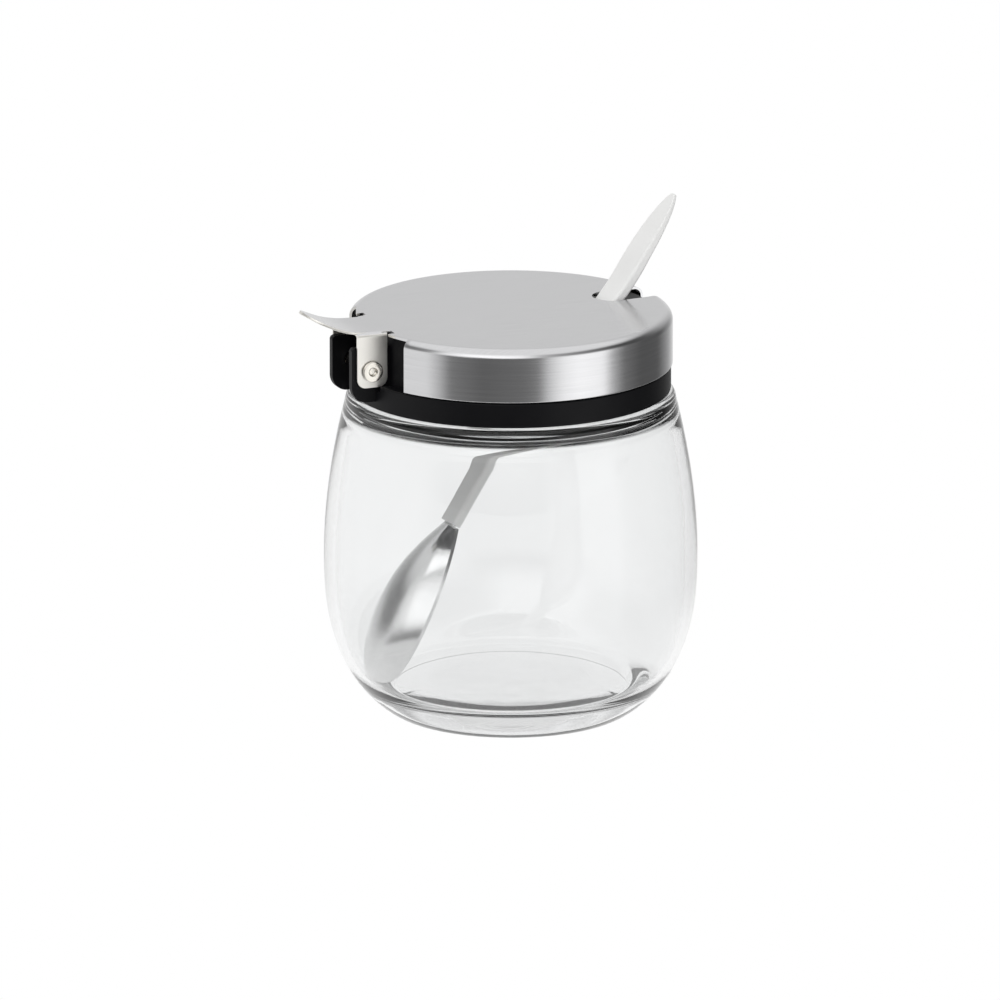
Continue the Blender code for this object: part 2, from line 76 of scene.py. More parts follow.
# The floor's relief: how far out from the axis, and how far above FLOOR_Z, in millimetres
FLOOR_RELIEF = [(0, 0.9), (8, 0.82), (16, 0.6), (24, 0.25), (28, 0.1), (30.4, 0), (31.4, -0.12),
                (32.4, -0.15), (33.6, -0.08)]
BELLY_Z = 41.0 * MM
BELLY_INNER_RADIUS = 43.2 * MM
BELLY_DROP = 6.0 * MM
BELLY_INNER_DROP = 5.6 * MM
BELLY_FULLNESS = 0.77
BELLY_INNER_FULLNESS = 0.74
BELLY_CURVE = 2.8
UPPER_BELLY_CURVE = 1.8
ROW_CROWDING = 2.2
ROW_GAP = 0.1 * MM
SHOULDER_Z = 81.6 * MM
SHOULDER_ROUND = 2.0 * MM
SHOULDER_START_DEG = 12
SHOULDER_INNER_Z = 78.6 * MM
SHOULDER_INNER_RISE = 4.6 * MM
NECK_RADIUS = 33.6 * MM
NECK_INNER_RADIUS = 31.2 * MM
NECK_FILLET = 0.8 * MM
NECK_INNER_FILLET = 2.0 * MM
WALL_STEPS = 44

# Thread, on the neck and in the collar
PITCH = 4.0 * MM
THREAD_TURNS = 1.25
THREAD_HEIGHT = 0.75 * MM
THREAD_BOTTOM = 86.8 * MM
THREAD_WIDTH = 1.6 * MM
COLLAR_THREAD_WIDTH = 1.3 * MM
THREAD_FADES_PER_TURN = 12
THREAD_FLANK = 2.0
THREAD_MARGIN = 1 * MM
TOUCHING = 0.01 * MM

# Collar and gasket
BAND_TOP = 88.2 * MM
BAND_WALL = 1.6 * MM
BAND_CEILING = 86.6 * MM
COLLAR_RADIUS = 36.1 * MM
COLLAR_INNER_RADIUS = 34.7 * MM
THREADED_WALL = 1.5 * MM
COLLAR_ROUND = 0.4 * MM
LIP_RADIUS = 30.6 * MM
LIP_BOTTOM = 99.3 * MM
GASKET_INNER_RADIUS = 31.6 * MM
GASKET_ROUND = 0.35 * MM
LUG_INNER_Y = 5.6 * MM
LUG_OUTER_Y = 7.5 * MM
LUG_TOP = 98.0 * MM
LUG_BOTTOM = 84.0 * MM
LUG_ROUND = 4.0 * MM
LUG_TOP_ROUND = 1.0 * MM
LUG_ROOT_DEPTH = 0.8 * MM
POCKET_DEPTH = 1.1 * MM
POCKET_ROOM = 1.1 * MM
POCKET_BOTTOM = 86.8 * MM
COLLAR_BORE_REACH = 9 * MM

# Lid
LID_TOP = 101.8 * MM
SHEET = 0.6 * MM
RIM_ROUND = 2.4 * MM
SKIRT_BOTTOM = 88.5 * MM
LID_RINGS = [8 * MM, 18 * MM, 27 * MM, 33 * MM]
RING_MARGINS = [1.2 * MM, 0.3 * MM]
SKIRT_MARGINS = (0.3 * MM, 0.5 * MM)
HINGE_GAP_DEG = 27.0
GAP_EDGE_RADIUS = 38.2 * MM
GAP_OUTSIDE = 46 * MM
CUT_MARGIN = 2 * MM
NOTCH_TURN = math.radians(6.0)
NOTCH_HALF_WIDTH = 5.0 * MM
NOTCH_CENTRE = 28.4 * MM
NOTCH_OUTSIDE = 45 * MM
EAR_OUTER_Y = 8.4 * MM
EAR_SHEET = 0.56 * MM
EAR_BEND = 1.1 * MM
EAR_X = (-44.0 * MM, -36.1 * MM)
EAR_ROUND = 2.3 * MM
FOLD_ROOT = 1.0 * MM
FOLD_END = 0.4 * MM
RELIEF_NEAR_Y = EAR_OUTER_Y - 0.4 * MM
RELIEF_FAR_Y = 10.6 * MM
RELIEF_INNER_X = -35.0 * MM
RELIEF_OUTER_X = (-37.2 * MM, -38.5 * MM)
LID_BORE_REACH = 12 * MM

# Thumb lever, on the lid's tab
TAB_HALF_WIDTH = 7.5 * MM
TAB_SHEET = 0.7 * MM
TAB_PROUD = 0.05 * MM
TAB_LEVEL = LID_TOP - TAB_SHEET / 2 + TAB_PROUD
# The lever's line: X, and how far it has risen, in millimetres
TAB_LINE = [(-34.0, 0), (-40.0, 0), (-44.0, 0.3), (-48.0, 1.3), (-52.0, 3.0), (-55.6, 4.9)]
TAB_TIP_ROUND = 4.2 * MM
TAB_TAPER_START = -44.8 * MM
TAB_TAPER = 2.8 * MM
TAB_TAPER_CURVE = 1.3
TAB_BLUNTNESS = 0.03

# Rivet
PIN_RADIUS = 1.5 * MM
PIN_ROUND = 0.22 * MM
ROLL_MOUTH = 1.0 * MM
ROLL_WALL = 0.7 * MM
ROLL_FLOOR = 0.8 * MM
ROLL_DEPTH = 0.9 * MM
GAP = 0.3 * MM

# Spoon handle
# The handle's line, X before its turn and Z, in millimetres
HANDLE_LINE = [(-17.0, 48.8), (-5.0, 66.0), (11.0, 83.5), (28.4, 101.8), (36.9, 113.4), (45.7, 125.6)]
HANDLE_LINE = [(s * MM, z * MM) for s, z in HANDLE_LINE]
STEM_WIDTH = 6.8 * MM
SWELL_WIDTH = 2.1 * MM
SWELL_START = 0.30
SWELL_LENGTH = 0.44
POINT_START = 0.76
POINT_LENGTH = 0.24
POINT_CURVE = 2.2
POINT_BLUNTNESS = 0.19
STEM_THICKNESS = 2.7 * MM
THINNING = 1.9 * MM
THINNING_START = 0.72
THINNING_LENGTH = 0.28
THINNING_CURVE = 1.3
HANDLE_GAP = 0.4 * MM
SOCKET_ROOM = 0.6 * MM

# Spoon bowl and its tang
BOWL_TIP = (-36.2 * MM, 11.7 * MM)
BOWL_HALF_WIDTH = 10.5 * MM
BOWL_DEPTH = 6.9 * MM
BOWL_SAG = 1.2 * MM
BOWL_SHEET = 0.9 * MM
BOWL_WIDEST = 0.56
BOWL_WIDTH_BLUNTNESS = 2.0
BOWL_DEPTH_BLUNTNESS = 2.6
BOWL_SECTION_CURVE = 2.2
BOWL_TIP_DEG = 87.4
BOWL_STATIONS = 26
BOWL_ACROSS = 24
NECK_HALF_WIDTH = 3.3 * MM
NECK_DEPTH = 0.9 * MM
TANG_WIDTH = 4.4 * MM
TANG_SHEET = 1.0 * MM
TANG_LENGTH = 7.0 * MM
# Where the tang is rooted in the bowl: along it and out from it, in millimetres
TANG_ROOT_ALONG = 2.5
TANG_ROOT_OUT = 0.3

# Fineness of the meshes
TURNS = 160
JAR_TURNS = 192
GASKET_TURNS = 128
PIN_TURNS = 48
ROD_SIDES = 64
OUTER_ROWS = 64
INNER_ROWS = 60
EDGE_STEPS = 4
MERGE_DISTANCE = 0.00001
SHARP_ANGLE = math.radians(32)
COLLAR_SOFTNESS = 0.22 * MM
LID_SOFTNESS = 0.12 * MM
HANDLE_SOFTNESS = 0.15 * MM
BOWL_SOFTNESS = 0.1 * MM


# ------------------------------------------------------------------ mesh tools

def add_object(name, verts, faces):
    mesh = bpy.data.meshes.new(name)
    mesh.from_pydata([tuple(v) for v in verts], [], faces)
    work = bmesh.new()
    work.from_mesh(mesh)
    bmesh.ops.recalc_face_normals(work, faces=work.faces)
    work.to_mesh(mesh)
    work.free()
    obj = bpy.data.objects.new(name, mesh)
    bpy.context.scene.collection.objects.link(obj)
    return obj


def apply_all(obj):
    """Bakes an object's modifiers and its own placing into its mesh."""
    bpy.context.view_layer.update()
    evaluated = obj.evaluated_get(bpy.context.evaluated_depsgraph_get())
    mesh = bpy.data.meshes.new_from_object(evaluated)
    mesh.transform(obj.matrix_world)
    obj.modifiers.clear()
    obj.data = mesh
    obj.matrix_world.identity()
    obj.location = (0, 0, 0)
    obj.rotation_euler = (0, 0, 0)
    return obj


def boolean(target, tool, operation):
    change = target.modifiers.new(tool.name, "BOOLEAN")
    change.object = tool
    change.operation = operation
    change.solver = "EXACT"
    apply_all(target)
    bpy.data.objects.remove(tool, do_unlink=True)


def clean(obj):
    """Merges doubled points and drops slivers."""
    work = bmesh.new()
    work.from_mesh(obj.data)
    bmesh.ops.remove_doubles(work, verts=work.verts, dist=MERGE_DISTANCE)
    bmesh.ops.dissolve_degenerate(work, edges=work.edges, dist=MERGE_DISTANCE)
    work.to_mesh(obj.data)
    work.free()


def soften(obj, width, angle_deg=40):
    """Rounds the sharp edges a little and shades the rest smooth."""
    clean(obj)
    if width:
        bevel = obj.modifiers.new("edge", "BEVEL")
        bevel.width = width
        bevel.segments = 2
        bevel.limit_method = "ANGLE"
        bevel.angle_limit = math.radians(angle_deg)
        bevel.use_clamp_overlap = True
        apply_all(obj)
    obj.data.shade_smooth()
    obj.data.set_sharp_from_angle(angle=SHARP_ANGLE)
    weigh = obj.modifiers.new("normals", "WEIGHTED_NORMAL")
    weigh.keep_sharp = True
    weigh.weight = 80
    apply_all(obj)
    return obj


def arc(centre, radius, start_deg, end_deg, steps):
    """Points along an arc, both ends included."""
    points = []
    for i in range(steps + 1):
        angle = math.radians(start_deg + (end_deg - start_deg) * i / steps)
        points.append((centre[0] + radius * math.cos(angle), centre[1] + radius * math.sin(angle)))
    return points


def stitched(rows, closed_rows, first_to_last=False):
    """Quads between rows of point numbers, triangles where a row is one point."""
    faces = []
    pairs = list(zip(rows, rows[1:]))
    if first_to_last:
        pairs.append((rows[-1], rows[0]))
    for low, high in pairs:
        count = len(low)
        for k in range(count if closed_rows else count - 1):
            n = (k + 1) % count
            corners = [low[k], low[n], high[n], high[k]]
            face = [c for i, c in enumerate(corners) if c != corners[i - 1]]
            if len(face) > 2:
                faces.append(face)
    return faces


def turned(name, section, ring=False, turns=TURNS, push=None):
    """A solid of revolution. push(angle, r, z) may move a point's radius, as a thread does."""
    verts = []
    rows = []
    for r, z in section:
        if r == 0:
            rows.append([len(verts)] * turns)
            verts.append((0, 0, z))
            continue
        rows.append(list(range(len(verts), len(verts) + turns)))
        for k in range(turns):
            angle = 2 * math.pi * k / turns
            reach = push(angle, r, z) if push else r
            verts.append((reach * math.cos(angle), reach * math.sin(angle), z))
    return add_object(name, verts, stitched(rows, True, ring))


def prism(name, outline, low, high, axis="Z"):
    """An outline drawn out between two levels of Z, or an outline in X and Z between two of Y."""
    count = len(outline)
    verts = []
    for level in (low, high):
        for a, b in outline:
            verts.append((a, b, level) if axis == "Z" else (a, level, b))
    faces = [list(range(count)), list(range(count, 2 * count))]
    for k in range(count):
        n = (k + 1) % count
        faces.append([k, n, count + n, count + k])
    return add_object(name, verts, faces)


def rod(name, radius, x, z, y_low, y_high):
    """A round bar along Y."""
    outline = arc((x, z), radius, 0, 360 - 360 / ROD_SIDES, ROD_SIDES - 1)
    return prism(name, outline, y_low, y_high, axis="Y")


def smooth_line(points, steps):
    """A Catmull-Rom curve through the points, with a number of steps from each to the next."""
    knots = [Vector(p) for p in points]
    knots = [2 * knots[0] - knots[1]] + knots + [2 * knots[-1] - knots[-2]]
    line = []
    for a, b, c, d in zip(knots, knots[1:], knots[2:], knots[3:]):
        for i in range(steps):
            t = i / steps
            line.append(0.5 * (2 * b + (c - a) * t + (2 * a - 5 * b + 4 * c - d) * t ** 2
                               + (3 * b - a - 3 * c + d) * t ** 3))
    line.append(knots[-2])
    return line


def strip(name, line, widths, thicknesses, corner=0.3):
    """A bar of rounded rectangular section along a line in the XZ plane, its width along Y."""
    verts = []
    rows = []
    for i, (place, width, thick) in enumerate(zip(line, widths, thicknesses)):
        ahead = line[min(i + 1, len(line) - 1)] - line[max(i - 1, 0)]
        normal = Vector((-ahead.y, ahead.x)).normalized()
        round_off = corner * min(width, thick)
        first = len(verts)
        for side_y, side_n, start in ((1, 1, 0), (-1, 1, 90), (-1, -1, 180), (1, -1, 270)):
            centre = (side_y * (width / 2 - round_off), side_n * (thick / 2 - round_off))
            for y, n in arc(centre, round_off, start, start + 90, EDGE_STEPS):
                spot = place + normal * n
                verts.append((spot.x, y, spot.y))
        rows.append(list(range(first, len(verts))))
    faces = stitched(rows, True) + [rows[0], rows[-1]]
    return add_object(name, verts, faces)


# ------------------------------------------------------------------ node tools

class Finish:
    """A procedural material: short calls add nodes to a Principled shader."""

    def __init__(self, name):
        self.material = bpy.data.materials.new(name)
        self.material.use_nodes = True
        self.tree = self.material.node_tree
        self.shader = self.tree.nodes["Principled BSDF"]
        self.place = self.node("ShaderNodeTexCoord").outputs["Object"]

    def node(self, kind, **settings):
        made = self.tree.nodes.new(kind)
        for key, value in settings.items():
            setattr(made, key, value)
        return made

    def link(self, out, into):
        self.tree.links.new(out, into)

    def constant(self, **values):
        for key, value in values.items():
            self.shader.inputs[key.replace("_", " ")].default_value = value

    def math(self, operation, a, b=None):
        made = self.node("ShaderNodeMath", operation=operation)
        for socket, value in zip(made.inputs, (a, b)):
            if value is None:
                continue
            if isinstance(value, (int, float)):
                socket.default_value = value
            else:
                self.link(value, socket)
        return made.outputs[0]

    def stretched(self, scale):
        """Object coordinates scaled by three numbers."""
        made = self.node("ShaderNodeMapping")
        made.inputs["Scale"].default_value = scale
        self.link(self.place, made.inputs["Vector"])
        return made.outputs["Vector"]

    def round_axis(self, around, up, out):
        """Coordinates that run round the Z axis, up it and out from it."""
        split = self.node("ShaderNodeSeparateXYZ")
        self.link(self.place, split.inputs[0])
        angle = self.math("ARCTAN2", split.outputs["Y"], split.outputs["X"])
        squares = [self.math("MULTIPLY", split.outputs[axis], split.outputs[axis]) for axis in "XY"]
        reach = self.math("SQRT", self.math("ADD", *squares))
        join = self.node("ShaderNodeCombineXYZ")
        self.link(self.math("MULTIPLY", angle, around), join.inputs["X"])
        self.link(self.math("MULTIPLY", split.outputs["Z"], up), join.inputs["Z"])
        self.link(self.math("MULTIPLY", reach, out), join.inputs["Y"])
        return join.outputs[0]

    def noise(self, vector, scale, detail=3.0, rough=0.5):
        """A noise pattern's value, from 0 to 1."""
        made = self.node("ShaderNodeTexNoise")
        made.inputs["Scale"].default_value = scale
        made.inputs["Detail"].default_value = detail
        made.inputs["Roughness"].default_value = rough
        self.link(vector, made.inputs["Vector"])
        return made.outputs["Fac"]

    def span(self, value, low, high):
        """A value from 0 to 1 stretched to run from low to high."""
        made = self.node("ShaderNodeMapRange")
        made.inputs["To Min"].default_value = low
        made.inputs["To Max"].default_value = high
        self.link(value, made.inputs["Value"])
        return made.outputs[0]

    def mixed(self, value, low, high):
        """A colour that runs from low to high, each a plain colour or another node's."""
        made = self.node("ShaderNodeMix", data_type="RGBA")
        for socket, colour in zip(("A", "B"), (low, high)):
            if isinstance(colour, (tuple, list)):
                made.inputs[socket].default_value = (*colour, 1)
            else:
                self.link(colour, made.inputs[socket])
        self.link(value, made.inputs["Factor"])
        return made.outputs["Result"]

    def two_colours(self, value, low, high):
        self.link(self.mixed(value, low, high), self.shader.inputs["Base Color"])

    def bump(self, height, distance, strength=1.0):
        made = self.node("ShaderNodeBump")
        made.inputs["Distance"].default_value = distance
        made.inputs["Strength"].default_value = strength
        self.link(height, made.inputs["Height"])
        self.link(made.outputs[0], self.shader.inputs["Normal"])


GRAIN_PATTERN = {"scale": 1.0, "detail": 4.0, "rough": 0.6}
GRAIN_FINE = 2600
GRAIN_LONG = 90
SATIN_TONES = ((0.60, 0.60, 0.61), (0.72, 0.72, 0.73))
# The cheeks' tones: a paler copy of the satin steel, a painted highlight on the same sheet
CHEEK_PAINTED_PALE_TONES = ((0.94, 0.92, 0.87), (0.98, 0.96, 0.91))
FLAT_NORMAL = 0.6
CHEEK_MARGIN = 0.2 * MM
CHEEK_ROUGHNESS = 0.25


def clear_glass():
    """Clear glass whose surface waves very slightly, as pressed glass does."""
    glass = Finish("clear_glass")
    glass.constant(Base_Color=(0.937, 0.942, 0.943, 1), Roughness=0.0, IOR=1.5, Transmission_Weight=1.0)
    wave = glass.noise(glass.stretched((1, 1, 0.6)), scale=45, detail=2.0)
    glass.bump(wave, distance=0.00012, strength=0.5)
    return glass.material


def brushed_steel():
    """Satin steel: grain across the flat top and round the skirt. The cheeks are duller, and painted
    paler as a painted highlight: a lighter copy of the same steel.
    """
    steel = Finish("brushed_steel")
    steel.constant(Metallic=1.0)
    top_grain = steel.noise(steel.stretched((GRAIN_LONG, GRAIN_FINE, GRAIN_LONG)), **GRAIN_PATTERN)
    side_grain = steel.noise(steel.round_axis(around=2.2, up=GRAIN_FINE, out=40), **GRAIN_PATTERN)
    split = steel.node("ShaderNodeSeparateXYZ")
    steel.link(steel.node("ShaderNodeTexCoord").outputs["Normal"], split.inputs[0])
    flatness = steel.math("GREATER_THAN", split.outputs["Z"], FLAT_NORMAL)
    choose = steel.node("ShaderNodeMix", data_type="FLOAT")
    steel.link(flatness, choose.inputs["Factor"])
    steel.link(side_grain, choose.inputs["A"])
    steel.link(top_grain, choose.inputs["B"])
    grain = choose.outputs["Result"]
    across = steel.node("ShaderNodeSeparateXYZ")
    steel.link(steel.place, across.inputs[0])
    cheeks = steel.math("LESS_THAN", across.outputs["X"], EAR_X[1] + CHEEK_MARGIN)
    cheeks = steel.math("MULTIPLY", cheeks, steel.math("SUBTRACT", 1.0, flatness))
    rough = steel.span(grain, low=0.10, high=0.20)
    rough = steel.math("ADD", rough, steel.math("MULTIPLY", cheeks, CHEEK_ROUGHNESS))
    steel.link(rough, steel.shader.inputs["Roughness"])
    satin = steel.mixed(grain, *SATIN_TONES)
    # Painted highlight: the cheeks take a paler copy of the steel's colour
    painted_pale = steel.mixed(grain, *CHEEK_PAINTED_PALE_TONES)
    steel.link(steel.mixed(cheeks, satin, painted_pale), steel.shader.inputs["Base Color"])
    steel.bump(grain, distance=0.00002, strength=0.8)
    return steel.material


def plain_steel(name, colour, rough, grain_scale):
    """Polished steel with faint drawing marks, which run along Y."""
    steel = Finish(name)
    steel.constant(Metallic=1.0)
    marks = steel.noise(steel.stretched((grain_scale, grain_scale * 0.15, grain_scale)), **GRAIN_PATTERN)
    steel.two_colours(marks, [c * 0.93 for c in colour], colour)
    steel.link(steel.span(marks, rough * 0.7, rough * 1.4), steel.shader.inputs["Roughness"])
    steel.bump(marks, distance=0.00001, strength=0.5)
    return steel.material


def moulded(name, dark, light, rough, grain_scale, depth, shine=0.5):
    """Moulded plastic or rubber: a fine even grain and slight variation of tone."""
    plastic = Finish(name)
    tone = plastic.noise(plastic.place, scale=180)
    plastic.two_colours(tone, dark, light)
    grain = plastic.noise(plastic.place, grain_scale, detail=2.0)
    plastic.link(plastic.span(grain, rough * 0.85, rough * 1.15), plastic.shader.inputs["Roughness"])
    plastic.bump(grain, depth, strength=0.5)
    plastic.constant(Specular_IOR_Level=shine)
    return plastic.material


# ------------------------------------------------------------------ jar

def belly(z, foot_z, foot_radius, wide_radius, drop, fullness):
    """The belly's radius at a height: it swells up to BELLY_Z and draws in above it."""
    if z < BELLY_Z:
        rise = (z - foot_z) / (BELLY_Z - foot_z)
        return foot_radius + (wide_radius - foot_radius) * (1 - (1 - rise) ** BELLY_CURVE) ** fullness
    return wide_radius - drop * ((z - BELLY_Z) / BELLY_Z) ** UPPER_BELLY_CURVE


def belly_side(foot_z, top_z, foot_radius, wide_radius, drop, fullness, steps):
    """Points up the belly's side, closer together near its foot."""
    heights = [foot_z + (top_z - foot_z) * (i / steps) ** ROW_CROWDING for i in range(1, steps + 1)]
    return [(belly(z, foot_z, foot_radius, wide_radius, drop, fullness), z) for z in heights]


def helix_bump(angle, z, bottom, width):
    """How far a thread's bead stands out at a point of the wall, from 0 to 1."""
    best = 0.0
    for lap in range(-1, 3):
        turn = angle / (2 * math.pi) + lap
        if not 0 <= turn <= THREAD_TURNS:
            continue
        run_out = min(1.0, THREAD_FADES_PER_TURN * min(turn, THREAD_TURNS - turn))
        away = abs(z - bottom - PITCH * turn) / (width / 2)
        best = max(best, run_out * min(1.0, max(0.0, THREAD_FLANK * (1 - away))))
    return best


def jar_outer_side():
    """The jar's outer section, from the middle of its underside to the top of its neck."""
    top = SHOULDER_Z - SHOULDER_ROUND
    chamfer_in, chamfer_up = FOOT_CHAMFER
    side = [(0, 0), (10 * MM, 0), (20 * MM, 0), (BASE_RADIUS - chamfer_in, 0), (BASE_RADIUS, chamfer_up)]
    side += belly_side(0, top, BASE_RADIUS, BELLY_RADIUS, BELLY_DROP, BELLY_FULLNESS, OUTER_ROWS)
    side += arc((side[-1][0] - SHOULDER_ROUND, top), SHOULDER_ROUND, SHOULDER_START_DEG, 90, 8)
    side += arc((NECK_RADIUS + NECK_FILLET, SHOULDER_Z + NECK_FILLET), NECK_FILLET, 270, 180, 5)
    rim_low = RIM_Z - (NECK_RADIUS - NECK_INNER_RADIUS) / 2
    start = SHOULDER_Z + NECK_FILLET
    side += [(NECK_RADIUS, start + (rim_low - start) * i / WALL_STEPS) for i in range(1, WALL_STEPS)]
    return side


def jar_inner_side():
    """The jar's inner section, from the middle of its floor to its neck."""
    top = SHOULDER_INNER_Z - SHOULDER_INNER_RISE
    inner = [(out * MM, FLOOR_Z + rise * MM) for out, rise in FLOOR_RELIEF]
    inner.append((FLOOR_RADIUS, FLOOR_Z + FLOOR_EDGE_RISE))
    side = belly_side(FLOOR_Z, top, FLOOR_RADIUS, BELLY_INNER_RADIUS, BELLY_INNER_DROP,
                      BELLY_INNER_FULLNESS, INNER_ROWS)
    inner += [point for point in side if point[1] > inner[-1][1] + ROW_GAP]
    shoulder_start = inner[-1][0]
    shoulder_end = NECK_INNER_RADIUS + NECK_INNER_FILLET
    steps = 12
    for step in range(1, steps + 1):
        turn = math.radians(90 * step / steps)
        inner.append((shoulder_end + (shoulder_start - shoulder_end) * math.cos(turn),
                      top + (SHOULDER_INNER_Z - top) * math.sin(turn)))
    fillet = arc((shoulder_end, SHOULDER_INNER_Z + NECK_INNER_FILLET), NECK_INNER_FILLET, 270, 180, 8)
    return inner + fillet[1:]


def jar_section():
    half_wall = (NECK_RADIUS - NECK_INNER_RADIUS) / 2
    rim = arc((NECK_RADIUS - half_wall, RIM_Z - half_wall), half_wall, 0, 180, 10)
    return jar_outer_side() + rim + jar_inner_side()[::-1]


def glass_jar():
    def push(angle, r, z):
        if r < NECK_RADIUS - TOUCHING or z < SHOULDER_Z + THREAD_MARGIN:
            return r
        return r + THREAD_HEIGHT * helix_bump(angle, z, THREAD_BOTTOM + PITCH / 2, THREAD_WIDTH)

    jar = turned("jar_glass", jar_section(), turns=JAR_TURNS, push=push)
    clean(jar)
    jar.data.shade_smooth()
    return jar


# ------------------------------------------------------------------ collar

def collar_section():
    """The collar's section: a threaded wall, a lip over the rim, and the band round its foot."""
    inner_wall = COLLAR_INNER_RADIUS + THREADED_WALL
    band_inside = BAND_RADIUS - BAND_WALL
    edge = COLLAR_ROUND
    height = COLLAR_BOTTOM - LIP_BOTTOM
    inside = [(COLLAR_INNER_RADIUS, LIP_BOTTOM + height * i / WALL_STEPS) for i in range(WALL_STEPS + 1)]
    channel = [(inner_wall, COLLAR_BOTTOM), (inner_wall, BAND_CEILING), (band_inside, BAND_CEILING),
               (band_inside, COLLAR_BOTTOM)]
    band = (arc((BAND_RADIUS - edge, COLLAR_BOTTOM + edge), edge, 270, 360, EDGE_STEPS)
            + arc((BAND_RADIUS - edge, BAND_TOP - edge), edge, 0, 90, EDGE_STEPS))
    top = (arc((COLLAR_RADIUS - edge, COLLAR_TOP - edge), edge, 0, 90, EDGE_STEPS)
           + arc((LIP_RADIUS + edge, COLLAR_TOP - edge), edge, 90, 180, EDGE_STEPS))
    return inside + channel + band + [(COLLAR_RADIUS, BAND_TOP)] + top + [(LIP_RADIUS, LIP_BOTTOM)]


def lug_outline():
    root_x = -COLLAR_RADIUS + LUG_ROOT_DEPTH
    low = arc((LUG_END_X + LUG_ROUND, LUG_BOTTOM + LUG_ROUND), LUG_ROUND, 270, 180, 14)
    high = arc((LUG_END_X + LUG_TOP_ROUND, LUG_TOP - LUG_TOP_ROUND), LUG_TOP_ROUND, 180, 90, 6)
    return [(root_x, LUG_BOTTOM)] + low + high + [(root_x, LUG_TOP)]


def pocket_outline():
    """The room beside a lug for the lid's cheek, from the side."""
    inner_x = -COLLAR_RADIUS + POCKET_DEPTH
    outer_x = LUG_END_X - MM
    return [(inner_x, POCKET_BOTTOM), (outer_x, POCKET_BOTTOM), (outer_x, LUG_TOP), (inner_x, LUG_TOP)]


def screw_collar():
    def push(angle, r, z):
        if abs(r - COLLAR_INNER_RADIUS) > TOUCHING:
            return r
        if z > LIP_BOTTOM - THREAD_MARGIN or z < COLLAR_BOTTOM + THREAD_MARGIN:
            return r
        return r - THREAD_HEIGHT * helix_bump(angle, z, THREAD_BOTTOM, COLLAR_THREAD_WIDTH)

    collar = turned("collar", collar_section(), ring=True, push=push)
    for side in (-1, 1):
        inner, outer = sorted((side * LUG_INNER_Y, side * LUG_OUTER_Y))
        boolean(collar, prism("lug", lug_outline(), inner, outer, axis="Y"), "UNION")
        near, far = sorted((side * LUG_OUTER_Y, side * (EAR_OUTER_Y + POCKET_ROOM)))
        boolean(collar, prism("pocket", pocket_outline(), near, far, axis="Y"), "DIFFERENCE")
    bore = rod("bore", PIN_RADIUS + GAP, PIN_X, PIN_Z, -COLLAR_BORE_REACH, COLLAR_BORE_REACH)
    boolean(collar, bore, "DIFFERENCE")
    return soften(collar, COLLAR_SOFTNESS)


def neck_gasket():
    edge = GASKET_ROUND
    low, high = gasket_low.z + edge, gasket_high.z - edge
    inner, outer = GASKET_INNER_RADIUS + edge, gasket_high.x - edge
    corners = ((outer, low, 270), (outer, high, 0), (inner, high, 90), (inner, low, 180))
    section = []
    for r, z, start in corners:
        section += arc((r, z), edge, start, start + 90, EDGE_STEPS)
    gasket = turned("gasket", section, ring=True, turns=GASKET_TURNS)
    gasket.data.shade_smooth()
    return gasket


# ------------------------------------------------------------------ lid

def lid_section():
    """The lid's section: a flat top, a rounded rim and a skirt with a round hem."""
    flat = LID_RADIUS - RIM_ROUND
    outer = arc((flat, LID_TOP - RIM_ROUND), RIM_ROUND, 90, 0, 14)
    inner = arc((flat, LID_TOP - RIM_ROUND), RIM_ROUND - SHEET, 0, 90, 10)
    rings = LID_RINGS + [flat - margin for margin in RING_MARGINS]
    above = [(r, LID_TOP) for r in rings]
    below = [(r, LID_TOP - SHEET) for r in reversed(rings)]
    margin_above, margin_below = SKIRT_MARGINS
    side = [(LID_RADIUS, LID_TOP - RIM_ROUND - margin_above), (LID_RADIUS, SKIRT_BOTTOM + margin_below)]
    hem = arc((LID_RADIUS - SHEET / 2, SKIRT_BOTTOM + SHEET / 2), SHEET / 2, 0, -180, 8)
    return [(0, LID_TOP)] + above + outer + side + hem + inner + below + [(0, LID_TOP - SHEET)]


def tab_lever():
    """The tab and its thumb lever, which rises and narrows to a rounded tip."""
    rise = smooth_line([(x * MM, lift * MM) for x, lift in TAB_LINE], 10)
    line = [Vector((p.x, TAB_LEVEL + p.y)) for p in rise]
    end = line[-1].x
    widths = []
    for place in line:
        narrowing = max(0.0, (TAB_TAPER_START - place.x) / (TAB_TAPER_START - end))
        width = 2 * (TAB_HALF_WIDTH - TAB_TAPER * narrowing ** TAB_TAPER_CURVE)
        to_tip = max(0.0, 1 - (place.x - end) / TAB_TIP_ROUND)
        widths.append(width * math.sqrt(max(TAB_BLUNTNESS, 1 - to_tip ** 2)))
    return strip("tab", line, widths, [TAB_SHEET] * len(line), corner=0.25)


def cheek_outline():
    """A cheek from the side: square at the fold, rounded at its lower corners."""
    near, far = EAR_X
    top = LID_TOP - TAB_SHEET / 2 - EAR_BEND
    low = EAR_BOTTOM + EAR_ROUND
    return ([(far, top), (near, top)] + arc((near + EAR_ROUND, low), EAR_ROUND, 180, 270, 12)
            + arc((far - EAR_ROUND, low), EAR_ROUND, 270, 360, 12))


